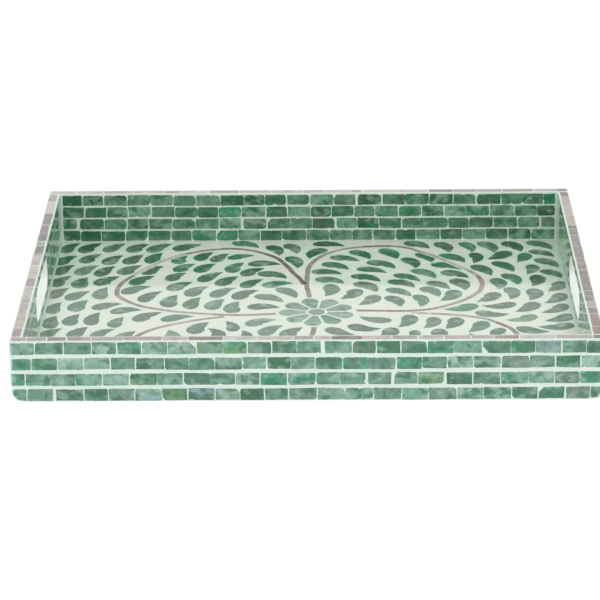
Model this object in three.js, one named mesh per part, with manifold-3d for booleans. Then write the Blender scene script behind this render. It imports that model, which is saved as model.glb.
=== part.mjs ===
// A rectangular serving tray: a board and four walls, coated in pale resin and inlaid all over
// with dyed mother-of-pearl. Millimetres, +Z up, +X along the length, +Y towards the back.
// The origin is the middle of the underside.
import * as THREE from 'three';
import { mergeVertices } from 'three/addons/utils/BufferGeometryUtils.js';
import Module from 'manifold-3d';

const wasm = await Module();
wasm.setup();

// Driving dimensions of the tray
const LENGTH = 457.2;
const DEPTH = 355.6;
const HEIGHT = 50.8;
const BASE_THICKNESS = 5.5;
const CORE_THICKNESS = 6.5;
const COAT_THICKNESS = 1.5;
const BED_THICKNESS = 1.5;
const COAT_LIFT = 0.6; // the coat stops this far above the table

// Shell inlay: strips let into the coat, with a glue line round each
const SHELL_THICKNESS = 1.0;
const GLUE_LINE = 0.05;
const CURVED_GLUE_LINE = 0.3;
const BOTTOM_LIP = 0.5; // least resin left under the lowest course
const OUTER_COURSE = { count: 4, top: 49.3, height: 9.6, pitch: 12.9 };
const INNER_COURSE = { count: 4, top: 49.3, height: 9.3, pitch: 11.0 };
const RIM_STRIP_THICKNESS = 0.9;
const RIM_MARGIN = 0.9; // pale line left on each side of the rim strip

// Handle slot: a hole with round ends through each short wall, lined with resin
const HANDLE_LENGTH = 97;
const HANDLE_HEIGHT = 26;
const HANDLE_CENTRE_Y = -12.5;
const HANDLE_CENTRE_Z = 30;
const LINING_THICKNESS = 0.8;
const ARC_STEPS = 16;

const OVERCUT = 1; // how far a cutting solid runs past the surface it cuts

// Floor pattern: a nine-petalled rosette inside a four-lobed scroll
const ROSETTE_CENTRE = { x: 7.3, y: -6.3 };
const ROSETTE_PETALS = 9;
const ROSETTE_TURN = 103; // heading of one petal, degrees from +X
const ROSETTE_TIP_RADIUS = 32;
const ROSETTE_NOTCH_DEPTH = 12;
const ROSETTE_STEPS_PER_PETAL = 8;
const SCROLL_WIDTH = 4.5;
const SCROLL_STEPS = 36;
// Each lobe of the scroll, in millimetres from the rosette's centre: up the stem, round the top
// and back to the rosette's side. The front lobes are squeezed, as there is less floor there.
const SCROLL_LOBES = {
  back_left_scroll: [
    [-7, 36], [-10, 62], [-20, 92], [-34, 128], [-54, 147], [-78, 153.5], [-98, 149],
    [-128, 130], [-150, 100], [-163, 74], [-168, 50], [-156, 24], [-122, 4], [-72, -5], [-37, -4],
  ],
  back_right_scroll: [
    [-7.3, 76], [-7, 104], [-2, 122], [10, 141], [44, 157.4], [80, 153], [110, 122], [138, 88],
    [140, 56], [118, 21], [88, 4.5], [37, 3.5],
  ],
  front_left_scroll: [
    [-2, -37], [-5, -56], [-14, -74], [-34, -118], [-54, -135], [-78, -141], [-100, -136],
    [-130, -118], [-152, -92], [-153, -66], [-140, -44], [-122, -29], [-98, -17.5], [-84, -13.3],
  ],
  front_right_scroll: [
    [-2, -78], [-3, -104], [12, -130], [46, -144], [80, -141], [120, -122], [152, -92],
    [164, -60], [154, -33], [140, -18], [118, -9.5], [90, -5], [72, -3.7],
  ],
};

// Derived sizes
const HALF_LENGTH = LENGTH / 2;
const HALF_DEPTH = DEPTH / 2;
const FLOOR_Z = BASE_THICKNESS + BED_THICKNESS;
const WALL_THICKNESS = CORE_THICKNESS + 2 * COAT_THICKNESS;
const CORE_TOP = HEIGHT - RIM_STRIP_THICKNESS - GLUE_LINE;
const CORE_HALF_LENGTH = HALF_LENGTH - COAT_THICKNESS;
const CORE_HALF_DEPTH = HALF_DEPTH - COAT_THICKNESS;
const WELL_HALF_LENGTH = HALF_LENGTH - WALL_THICKNESS;
const WELL_HALF_DEPTH = HALF_DEPTH - WALL_THICKNESS;

const MATERIALS = {
  board: { color: 0x9a7b55, roughness: 0.8 },
  resin: { color: 0xd7e6da, roughness: 0.35 },
  greenShell: { color: 0x5f9a82, roughness: 0.3 },
  rimShell: { color: 0xb5a5a2, roughness: 0.3 },
  scrollShell: { color: 0x9b8f88, roughness: 0.3 },
};

const tray = new THREE.Group();

// --- Solids ---------------------------------------------------------------------------------

function toSolid(geometry) {
  geometry.deleteAttribute('normal');
  geometry.deleteAttribute('uv');
  const merged = mergeVertices(geometry, 1e-4);
  return new wasm.Manifold(new wasm.Mesh({
    numProp: 3,
    vertProperties: new Float32Array(merged.attributes.position.array),
    triVerts: new Uint32Array(merged.index.array),
  }));
}

function toGeometry(solid) {
  const { vertProperties, triVerts } = solid.getMesh();
  const geometry = new THREE.BufferGeometry();
  geometry.setAttribute('position', new THREE.BufferAttribute(vertProperties, 3));
  geometry.setIndex(new THREE.BufferAttribute(triVerts, 1));
  geometry.computeVertexNormals();
  return geometry;
}

function addPart(name, materialName, solid) {
  const material = new THREE.MeshStandardMaterial({ ...MATERIALS[materialName], metalness: 0 });
  const mesh = new THREE.Mesh(toGeometry(solid), material);
  mesh.name = name;
  tray.add(mesh);
}

// A range made longer by `amount` at both ends.
function grow([low, high], amount) {
  return [low - amount, high + amount];
}

function block([xMin, xMax], [yMin, yMax], [zMin, zMax]) {
  const geometry = new THREE.BoxGeometry(xMax - xMin, yMax - yMin, zMax - zMin);
  geometry.translate((xMin + xMax) / 2, (yMin + yMax) / 2, (zMin + zMax) / 2);
  return toSolid(geometry);
}

function centredBlock(halfLength, halfDepth, zRange) {
  return block([-halfLength, halfLength], [-halfDepth, halfDepth], zRange);
}

// A square-cornered frame whose outside is halfLength by halfDepth and whose wall is `wall` thick.
function frame(halfLength, halfDepth, wall, [zMin, zMax]) {
  const outside = centredBlock(halfLength, halfDepth, [zMin, zMax]);
  const cut = grow([zMin, zMax], OVERCUT);
  return outside.subtract(centredBlock(halfLength - wall, halfDepth - wall, cut));
}

// A bar along X with the handle's outline grown by `growth`; side is -1 left or +1 right.
function handleBar(side, growth, [xInner, xOuter]) {
  const radius = HANDLE_HEIGHT / 2 + growth;
  const straight = HANDLE_LENGTH / 2 - HANDLE_HEIGHT / 2;
  const outline = new THREE.Shape();
  outline.absarc(straight, 0, radius, -Math.PI / 2, Math.PI / 2, false);
  outline.absarc(-straight, 0, radius, Math.PI / 2, (3 * Math.PI) / 2, false);
  const geometry = new THREE.ExtrudeGeometry(outline, {
    depth: xOuter - xInner,
    bevelEnabled: false,
    curveSegments: ARC_STEPS,
  });
  const alongX = new THREE.Matrix4().makeBasis(
    new THREE.Vector3(0, 1, 0),
    new THREE.Vector3(0, 0, 1),
    new THREE.Vector3(1, 0, 0),
  );
  geometry.applyMatrix4(alongX);
  geometry.translate(side > 0 ? xInner : -xOuter, HANDLE_CENTRE_Y, HANDLE_CENTRE_Z);
  return toSolid(geometry);
}

function withoutHandles(solid, growth) {
  const throughWall = grow([WELL_HALF_LENGTH, HALF_LENGTH], OVERCUT);
  return solid
    .subtract(handleBar(-1, growth, throughWall))
    .subtract(handleBar(1, growth, throughWall));
}

// --- Board and wall cores -------------------------------------------------------------------

addPart('base_board', 'board', centredBlock(CORE_HALF_LENGTH, CORE_HALF_DEPTH, [0, BASE_THICKNESS]));

const coreZ = [BASE_THICKNESS, CORE_TOP];
const longCoreY = [CORE_HALF_DEPTH - CORE_THICKNESS, CORE_HALF_DEPTH];
const shortCoreX = [CORE_HALF_LENGTH - CORE_THICKNESS, CORE_HALF_LENGTH];
const mirrored = ([low, high]) => [-high, -low];

addPart('front_wall_core', 'board',
  block([-CORE_HALF_LENGTH, CORE_HALF_LENGTH], mirrored(longCoreY), coreZ));
addPart('back_wall_core', 'board',
  block([-CORE_HALF_LENGTH, CORE_HALF_LENGTH], longCoreY, coreZ));

function addShortWallCore(name, xRange) {
  const halfRun = CORE_HALF_DEPTH - CORE_THICKNESS;
  const plain = block(xRange, [-halfRun, halfRun], coreZ);
  addPart(name, 'board', withoutHandles(plain, LINING_THICKNESS + GLUE_LINE));
}
addShortWallCore('left_wall_core', mirrored(shortCoreX));
addShortWallCore('right_wall_core', shortCoreX);

// --- Shell courses on the walls -------------------------------------------------------------

// Top and bottom of course number k, counted from the rim down.
function courseZ(course, k) {
  const top = course.top - k * course.pitch;
  return [Math.max(top - course.height, COAT_LIFT + BOTTOM_LIP), top];
}

// The rim strip lies in a groove cut along the top of both coats.
const rimInset = RIM_MARGIN - GLUE_LINE;
const rimGroove = frame(HALF_LENGTH - rimInset, HALF_DEPTH - rimInset,
  WALL_THICKNESS - 2 * rimInset, [CORE_TOP, HEIGHT + OVERCUT]);

const grooveDepth = SHELL_THICKNESS + GLUE_LINE;

function outerCoat() {
  let coat = frame(HALF_LENGTH, HALF_DEPTH, COAT_THICKNESS, [COAT_LIFT, HEIGHT]);
  for (let k = 0; k < OUTER_COURSE.count; k += 1) {
    const zRange = grow(courseZ(OUTER_COURSE, k), GLUE_LINE);
    coat = coat.subtract(frame(HALF_LENGTH + OVERCUT, HALF_DEPTH + OVERCUT,
      grooveDepth + OVERCUT, zRange));
  }
  return withoutHandles(coat.subtract(rimGroove), LINING_THICKNESS + GLUE_LINE);
}

function innerCoat() {
  const halfLength = WELL_HALF_LENGTH + COAT_THICKNESS;
  const halfDepth = WELL_HALF_DEPTH + COAT_THICKNESS;
  let coat = frame(halfLength, halfDepth, COAT_THICKNESS, [FLOOR_Z, HEIGHT]);
  for (let k = 0; k < INNER_COURSE.count; k += 1) {
    const zRange = grow(courseZ(INNER_COURSE, k), GLUE_LINE);
    const groove = frame(WELL_HALF_LENGTH + grooveDepth, WELL_HALF_DEPTH + grooveDepth,
      grooveDepth + OVERCUT, zRange);
    coat = coat.subtract(groove);
  }
  return withoutHandles(coat.subtract(rimGroove), LINING_THICKNESS + GLUE_LINE);
}

addPart('outer_resin_coat', 'resin', outerCoat());
addPart('inner_resin_coat', 'resin', innerCoat());

// A course beside a handle may be cut in two; its pieces are named front and back.
function addSideCourse(name, solid) {
  const pieces = withoutHandles(solid, LINING_THICKNESS + GLUE_LINE).decompose();
  if (pieces.length === 1) {
    addPart(name, 'greenShell', pieces[0]);
    return;
  }
  for (const piece of pieces) {
    const box = piece.boundingBox();
    const end = (box.min[1] + box.max[1]) / 2 < HANDLE_CENTRE_Y ? 'front' : 'back';
    addPart(`${name}_${end}`, 'greenShell', piece);
  }
}

for (let k = 0; k < OUTER_COURSE.count; k += 1) {
  const zRange = courseZ(OUTER_COURSE, k);
  const along = [-HALF_LENGTH, HALF_LENGTH];
  const faceY = [HALF_DEPTH - SHELL_THICKNESS, HALF_DEPTH];
  const faceX = [HALF_LENGTH - SHELL_THICKNESS, HALF_LENGTH];
  const sideRun = HALF_DEPTH - SHELL_THICKNESS - GLUE_LINE;
  addPart(`front_outer_course_${k + 1}`, 'greenShell', block(along, mirrored(faceY), zRange));
  addPart(`back_outer_course_${k + 1}`, 'greenShell', block(along, faceY, zRange));
  addSideCourse(`left_outer_course_${k + 1}`, block(mirrored(faceX), [-sideRun, sideRun], zRange));
  addSideCourse(`right_outer_course_${k + 1}`, block(faceX, [-sideRun, sideRun], zRange));
}

for (let k = 0; k < INNER_COURSE.count; k += 1) {
  const [zMin, zMax] = courseZ(INNER_COURSE, k);
  const zRange = [Math.max(zMin, FLOOR_Z + GLUE_LINE), zMax];
  const along = [-WELL_HALF_LENGTH, WELL_HALF_LENGTH];
  const faceY = [WELL_HALF_DEPTH, WELL_HALF_DEPTH + SHELL_THICKNESS];
  const faceX = [WELL_HALF_LENGTH, WELL_HALF_LENGTH + SHELL_THICKNESS];
  const sideRun = WELL_HALF_DEPTH - GLUE_LINE;
  addPart(`front_inner_course_${k + 1}`, 'greenShell', block(along, mirrored(faceY), zRange));
  addPart(`back_inner_course_${k + 1}`, 'greenShell', block(along, faceY, zRange));
  addSideCourse(`left_inner_course_${k + 1}`, block(mirrored(faceX), [-sideRun, sideRun], zRange));
  addSideCourse(`right_inner_course_${k + 1}`, block(faceX, [-sideRun, sideRun], zRange));
}

// --- Rim strips -----------------------------------------------------------------------------

const rimZ = [HEIGHT - RIM_STRIP_THICKNESS, HEIGHT];
const rimX = [HALF_LENGTH - WALL_THICKNESS + RIM_MARGIN, HALF_LENGTH - RIM_MARGIN];
const rimY = [HALF_DEPTH - WALL_THICKNESS + RIM_MARGIN, HALF_DEPTH - RIM_MARGIN];
const longRim = [-rimX[1], rimX[1]];
const shortRim = [-rimY[0] + GLUE_LINE, rimY[0] - GLUE_LINE];

addPart('front_rim_strip', 'rimShell', block(longRim, mirrored(rimY), rimZ));
addPart('back_rim_strip', 'rimShell', block(longRim, rimY, rimZ));
addPart('left_rim_strip', 'rimShell', block(mirrored(rimX), shortRim, rimZ));
addPart('right_rim_strip', 'rimShell', block(rimX, shortRim, rimZ));

// --- Handle linings -------------------------------------------------------------------------

function handleLining(side) {
  const throughWall = [WELL_HALF_LENGTH, HALF_LENGTH];
  const hole = handleBar(side, 0, grow(throughWall, OVERCUT));
  return handleBar(side, LINING_THICKNESS, throughWall).subtract(hole);
}
addPart('left_handle_lining', 'resin', handleLining(-1));
addPart('right_handle_lining', 'resin', handleLining(1));

// --- Floor inlay ----------------------------------------------------------------------------

function extrudeUp(outline, zMin, zMax) {
  const geometry = new THREE.ExtrudeGeometry(outline, { depth: zMax - zMin, bevelEnabled: false });
  geometry.translate(ROSETTE_CENTRE.x, ROSETTE_CENTRE.y, zMin);
  return toSolid(geometry);
}

// A ribbon of the given width along a smooth curve through the points.
function ribbonOutline(points, width) {
  const curve = new THREE.CatmullRomCurve3(points.map(([x, y]) => new THREE.Vector3(x, y, 0)));
  const near = [];
  const far = [];
  for (let i = 0; i <= SCROLL_STEPS; i += 1) {
    const t = i / SCROLL_STEPS;
    const at = curve.getPointAt(t);
    const along = curve.getTangentAt(t);
    near.push(new THREE.Vector2(at.x - (along.y * width) / 2, at.y + (along.x * width) / 2));
    far.push(new THREE.Vector2(at.x + (along.y * width) / 2, at.y - (along.x * width) / 2));
  }
  return new THREE.Shape([...near, ...far.reverse()]);
}

function rosetteOutline(growth) {
  const steps = ROSETTE_PETALS * ROSETTE_STEPS_PER_PETAL;
  const points = [];
  for (let i = 0; i < steps; i += 1) {
    const angle = (2 * Math.PI * i) / steps;
    const fromTip = angle - THREE.MathUtils.degToRad(ROSETTE_TURN);
    const notch = 1 - Math.abs(Math.cos((ROSETTE_PETALS * fromTip) / 2));
    const radius = ROSETTE_TIP_RADIUS - ROSETTE_NOTCH_DEPTH * notch ** 2 + growth;
    points.push(new THREE.Vector2(radius * Math.cos(angle), radius * Math.sin(angle)));
  }
  return new THREE.Shape(points);
}

const inlayZ = [FLOOR_Z - SHELL_THICKNESS, FLOOR_Z];
const pocketZ = [inlayZ[0] - GLUE_LINE, FLOOR_Z + OVERCUT];
let bed = centredBlock(WELL_HALF_LENGTH + COAT_THICKNESS, WELL_HALF_DEPTH + COAT_THICKNESS,
  [BASE_THICKNESS, FLOOR_Z]);
bed = bed.subtract(extrudeUp(rosetteOutline(CURVED_GLUE_LINE), ...pocketZ));
addPart('floor_rosette', 'greenShell', extrudeUp(rosetteOutline(0), ...inlayZ));

for (const [name, points] of Object.entries(SCROLL_LOBES)) {
  const pocket = extrudeUp(ribbonOutline(points, SCROLL_WIDTH + 2 * CURVED_GLUE_LINE), ...pocketZ);
  const strip = extrudeUp(ribbonOutline(points, SCROLL_WIDTH), ...inlayZ);
  bed = bed.subtract(pocket);
  addPart(name, 'scrollShell', strip);
}
addPart('floor_resin_bed', 'resin', bed);

export default tray;
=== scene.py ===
"""Looks of a rectangular serving tray inlaid with dyed shell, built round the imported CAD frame.

Lengths are in millimetres until a mesh is made, and every place is worked out from the frame.
"""
import math
import random
from collections import namedtuple

import bpy
import numpy as np
from mathutils import Matrix, Vector, noise
from mathutils.kdtree import KDTree


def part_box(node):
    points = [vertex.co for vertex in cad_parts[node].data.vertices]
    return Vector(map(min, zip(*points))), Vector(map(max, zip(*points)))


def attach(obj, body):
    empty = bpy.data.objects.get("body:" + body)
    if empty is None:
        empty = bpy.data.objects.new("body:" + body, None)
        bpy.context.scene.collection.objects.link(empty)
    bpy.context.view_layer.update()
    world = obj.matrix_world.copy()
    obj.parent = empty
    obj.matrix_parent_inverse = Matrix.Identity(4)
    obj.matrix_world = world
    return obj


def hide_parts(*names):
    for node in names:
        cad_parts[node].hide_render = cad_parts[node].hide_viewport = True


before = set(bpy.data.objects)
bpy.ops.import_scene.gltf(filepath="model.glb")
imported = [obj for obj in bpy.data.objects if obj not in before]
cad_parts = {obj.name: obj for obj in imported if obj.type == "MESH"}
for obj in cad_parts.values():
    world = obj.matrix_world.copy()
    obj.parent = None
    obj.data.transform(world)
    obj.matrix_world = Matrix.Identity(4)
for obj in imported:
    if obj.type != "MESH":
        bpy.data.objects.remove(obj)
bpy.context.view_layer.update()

MM = 0.001


# --- Sizes read from the frame ---

def node_box(name):
    low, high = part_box(name)
    return [c / MM for c in low], [c / MM for c in high]


HALF_LENGTH, HALF_DEPTH, RIM_Z = node_box("outer_resin_coat")[1]
WELL_HALF_LENGTH = node_box("back_inner_course_1")[1][0]
WELL_HALF_DEPTH = node_box("back_inner_course_1")[0][1]
FLOOR_Z = node_box("floor_resin_bed")[1][2]
BOARD_HIGH = node_box("base_board")[1]
WALL = HALF_LENGTH - WELL_HALF_LENGTH
COAT = HALF_LENGTH - BOARD_HIGH[0]

# Which way each wall lies from the middle of the tray, and where its courses are
SIDES = {"front": (0, -1), "back": (0, 1), "left": (-1, 0), "right": (1, 0)}
COURSES = {where: [node_box(f"front_{where}_course_{k}") for k in range(1, 5)]
           for where in ("outer", "inner")}

LINING = 0.8            # thickness of the handle slots' lining
LINING_LOW, LINING_HIGH = node_box("left_handle_lining")
SLOT_Y = (LINING_LOW[1] + LINING_HIGH[1]) / 2
SLOT_Z = (LINING_LOW[2] + LINING_HIGH[2]) / 2
SLOT_RADIUS = (LINING_HIGH[2] - LINING_LOW[2]) / 2 - LINING
SLOT_STRAIGHT = (LINING_HIGH[1] - LINING_LOW[1]) / 2 - LINING - SLOT_RADIUS

ROSETTE_RADIUS = 32.0   # of the round plate that stands for it in the frame
ROSETTE_LOW, ROSETTE_HIGH = node_box("floor_rosette")
ROSETTE_X = (ROSETTE_LOW[0] + ROSETTE_HIGH[0]) / 2
ROSETTE_Y = ROSETTE_HIGH[1] - ROSETTE_RADIUS

# Finish of the inlay
GROUT_RECESS = 0.04     # resin stands this far below the shell
SHELL_DEPTH = 0.9       # how deep each shell goes into the resin
EDGE_RADIUS = 1.6       # rounding of the tray's upright outer edges
FOOT_RADIUS = 0.8       # rounding of its bottom edges
CORNER_RADIUS = 6.0     # ball-shaped rounding of the four bottom corners
CORNER_REACH = 14.0     # how far that rounding runs out along the edges

GRAIN_SPREAD = 50       # how far apart in the grain two shells may be cut

rng = random.Random(20)


# --- Colours ---

def srgb(red, green, blue):
    """A colour given as the eye reads it, 0 to 255, in the linear values that shaders use."""
    def linear(c):
        c /= 255
        return c / 12.92 if c <= 0.04045 else ((c + 0.055) / 1.055) ** 2.4
    return (linear(red), linear(green), linear(blue), 1.0)


def jitter(colour, spread):
    """The colour made a little lighter or darker and warmer or cooler."""
    light = 1 + rng.uniform(-spread, spread)
    warm = 1 + rng.uniform(-spread, spread) * 0.3
    return (colour[0] * light * warm, colour[1] * light, colour[2] * light / warm, 1.0)


def palette(*shades):
    """Colours to pick from, each given as red, green, blue and its share of the picks."""
    return [(srgb(*shade[:3]), shade[3]) for shade in shades]


OUTER_GREENS = palette(
    (98, 145, 125, 22), (116, 158, 139, 16), (84, 134, 111, 20),
    (142, 176, 160, 8), (66, 123, 97, 16), (54, 106, 80, 9),
    (98, 138, 92, 4), (116, 134, 118, 4), (124, 156, 154, 6),
)
INNER_GREENS = palette(
    (84, 133, 106, 22), (100, 147, 121, 18), (62, 115, 86, 22),
    (120, 162, 138, 9), (40, 98, 68, 14), (82, 112, 84, 5),
    (20, 84, 54, 9),
)
# Paler greens as painted light: the short walls inside take the light more, so their shells are painted
# lighter
LIT_SIDE_GREENS = palette(     # the short walls inside, which take the light more
    (132, 184, 150, 22), (148, 198, 164, 18), (108, 168, 130, 22),
    (172, 210, 184, 12), (84, 150, 108, 10), (128, 164, 130, 4),
)
FLOOR_GREENS = palette(
    (76, 112, 90, 24), (56, 96, 70, 24), (98, 130, 110, 14),
    (38, 82, 54, 18), (84, 100, 80, 10), (22, 92, 58, 10),
)
EMERALDS = palette((4, 122, 76, 5), (24, 138, 100, 4), (4, 94, 56, 3))
RIM_TONES = {
    "cream": srgb(181, 174, 159), "pale": srgb(178, 179, 171), "beige": srgb(163, 150, 135),
    "blush": srgb(178, 164, 157), "pink": srgb(157, 132, 127), "mauve": srgb(104, 80, 83),
    "taupe": srgb(110, 100, 92), "dusk": srgb(82, 69, 69), "olive": srgb(135, 132, 112),
    "rust": srgb(137, 98, 82), "grey": srgb(146, 147, 139),
}
SCROLL_TONES = {
    "dark": srgb(100, 86, 80), "umber": srgb(118, 104, 94), "taupe": srgb(134, 122, 112),
    "ash": srgb(140, 138, 124), "mist": srgb(156, 150, 140), "blush": srgb(166, 146, 138),
    "cream": srgb(192, 192, 176),
}
ROSETTE_GREENS = palette((112, 146, 126, 3), (92, 132, 110, 2), (122, 152, 134, 2))
DISC_TINTS = (srgb(122, 142, 126), srgb(106, 132, 116))
MINT = srgb(210, 229, 217)
PALE_MINT = srgb(219, 232, 222)
# Near white of the handle slots' lining: a pale resin, made nearly white with painted light
LIT_WHITE_MINT = srgb(248, 254, 250)
FLOOR_MINT = srgb(204, 232, 210)
FLOOR_PALE_MINT = srgb(215, 236, 218)
CREAM = srgb(229, 230, 216)
PINHOLE = srgb(176, 200, 184)


def pick(palette):
    return rng.choices([c for c, _ in palette], [w for _, w in palette])[0]


# --- Many small shells in one mesh ---

def band(count, levels, base=0, closed=False):
    """Faces between rings of count points each; a closed band joins the last ring to the first."""
    faces = []
    for level in range(levels if closed else levels - 1):
        low = base + level * count
        high = base + (level + 1) % levels * count
        for i in range(count):
            j = (i + 1) % count
            faces.append((low + i, low + j, high + j, high + i))
    return faces


def skin(count, levels, base=0):
    """Faces of a solid: a band closed by a flat face at either end."""
    top = base + (levels - 1) * count
    ends = [tuple(range(top, top + count)), tuple(range(base + count - 1, base - 1, -1))]
    return band(count, levels, base) + ends


class Shells:
    """Separate shells gathered into one mesh; each has two tints and a seed for its grain."""

    def __init__(self):
        self.points = []
        self.faces = []
        self.first_tint = []
        self.second_tint = []
        self.seed = []

    def add(self, rings, first, second):
        """A closed shell skinned over rings of points, from the buried one up to the top one."""
        base = len(self.points)
        count = len(rings[0])
        for ring in rings:
            self.points.extend(ring)
        self.faces.extend(skin(count, len(rings), base))
        total = count * len(rings)
        grain = tuple(rng.uniform(-GRAIN_SPREAD, GRAIN_SPREAD) for _ in range(3))
        self.first_tint.extend([first] * total)
        self.second_tint.extend([second] * total)
        self.seed.extend([grain] * total)

    def build(self, name):
        piece = mesh_object(name, self.points, self.faces)
        for label, kind, values in (("first_tint", "FLOAT_COLOR", self.first_tint),
                                    ("second_tint", "FLOAT_COLOR", self.second_tint),
                                    ("grain", "FLOAT_VECTOR", self.seed)):
            layer = piece.data.attributes.new(label, kind, "POINT")
            field = "vector" if kind == "FLOAT_VECTOR" else "color"
            layer.data.foreach_set(field, np.array(values, np.float32).ravel())
        return piece


def mesh_object(name, points, faces):
    mesh = bpy.data.meshes.new(name)
    mesh.from_pydata([(x * MM, y * MM, z * MM) for x, y, z in points], [], faces)
    mesh.validate()
    piece = bpy.data.objects.new(name, mesh)
    bpy.context.scene.collection.objects.link(piece)
    return piece


def smooth(piece, degrees=35):
    piece.data.polygons.foreach_set("use_smooth", [True] * len(piece.data.polygons))
    piece.data.set_sharp_from_angle(angle=math.radians(degrees))


def dress(piece, material, slot, *nodes):
    """Gives a piece its material, its place on the frame and the CAD nodes that it stands for."""
    piece.data.materials.clear()
    piece.data.materials.append(material)
    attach(piece, "root")
    if nodes:
        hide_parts(*nodes)


# --- Shape of the tray's outside ---

def ease(t):
    t = min(max(t, 0.0), 1.0)
    return t * t * (3 - 2 * t)


def round_off(a, b, radius):
    """Moves a point that is a and b inside two faces from their square edge onto a round one."""
    if a >= radius or b >= radius:
        return a, b
    p, q = radius - a, radius - b
    shrink = max(p, q) / math.hypot(p, q)
    return radius - p * shrink, radius - q * shrink


def soften(point):
    """Rounds the outside: small radii on every edge, a ball at each bottom corner."""
    x, y, z = point
    dx, dy, dz = HALF_LENGTH - abs(x), HALF_DEPTH - abs(y), z
    upright = EDGE_RADIUS + (CORNER_RADIUS - EDGE_RADIUS) * ease(1 - dz / CORNER_REACH)
    along_x = FOOT_RADIUS + (CORNER_RADIUS - FOOT_RADIUS) * ease(1 - dx / CORNER_REACH)
    along_y = FOOT_RADIUS + (CORNER_RADIUS - FOOT_RADIUS) * ease(1 - dy / CORNER_REACH)
    dx, dy = round_off(dx, dy, upright)
    dx, dz = round_off(dx, dz, along_y)
    dy, dz = round_off(dy, dz, along_x)
    return (math.copysign(HALF_LENGTH - dx, x), math.copysign(HALF_DEPTH - dy, y), dz)


CUT_PAST = 4.0          # how far the handle cutter reaches past both faces of a wall
NEAR_CORNER = [0.0, 0.25, 0.5, 0.8, 1.2, 1.6, 2.2, 3.0, 4.0, 5.0, 6.0, 8.0, 10.0, 12.0, 14.0, 20.0]


def rectangle(half_x, half_y):
    """Points round a rectangle, anticlockwise, close together near its corners."""
    def side(half):
        near = [-half + d for d in NEAR_CORNER]
        middle = [half * t for t in (-0.75, -0.5, -0.25, 0.0, 0.25, 0.5, 0.75)]
        return near + middle + [-p for p in reversed(near[1:])]
    path = [(x, -half_y) for x in side(half_x)]
    path += [(half_x, y) for y in side(half_y)]
    path += [(-x, half_y) for x in side(half_x)]
    path += [(-half_x, -y) for y in side(half_y)]
    return path


def ring_mesh(name, profile, shape):
    """A closed ring round the tray: profile is (inset from the outside, height) pairs."""
    points = []
    for inset, z in profile:
        path = rectangle(HALF_LENGTH - inset, HALF_DEPTH - inset)
        points.extend(shape((x, y, z)) for x, y in path)
    return mesh_object(name, points, band(len(path), len(profile), closed=True))


def slot_outline(growth, steps=20):
    """Points round the handle slot, as (y, z), anticlockwise seen from +X."""
    radius = SLOT_RADIUS + growth
    outline = []
    for centre, start in ((SLOT_STRAIGHT, -90), (-SLOT_STRAIGHT, 90)):
        for i in range(steps + 1):
            angle = math.radians(start + 180 * i / steps)
            outline.append((SLOT_Y + centre + radius * math.cos(angle),
                            SLOT_Z + radius * math.sin(angle)))
    return outline


def cut_handles(piece, growth):
    """Cuts both handle slots, grown by the given amount, out of a piece."""
    outline = slot_outline(growth)
    for side in (-1, 1):
        ends = sorted((side * (WELL_HALF_LENGTH - CUT_PAST), side * (HALF_LENGTH + CUT_PAST)))
        points = [(x, y, z) for x in ends for y, z in outline]
        cutter = mesh_object("cutter", points, skin(len(outline), len(ends)))
        cut = piece.modifiers.new("handle", "BOOLEAN")
        cut.operation = "DIFFERENCE"
        cut.solver = "EXACT"
        cut.object = cutter
        apply_modifiers(piece)
        bpy.data.objects.remove(cutter)


def apply_modifiers(piece):
    graph = bpy.context.evaluated_depsgraph_get()
    mesh = bpy.data.meshes.new_from_object(piece.evaluated_get(graph))
    piece.modifiers.clear()
    piece.data = mesh


# --- Materials ---

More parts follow.
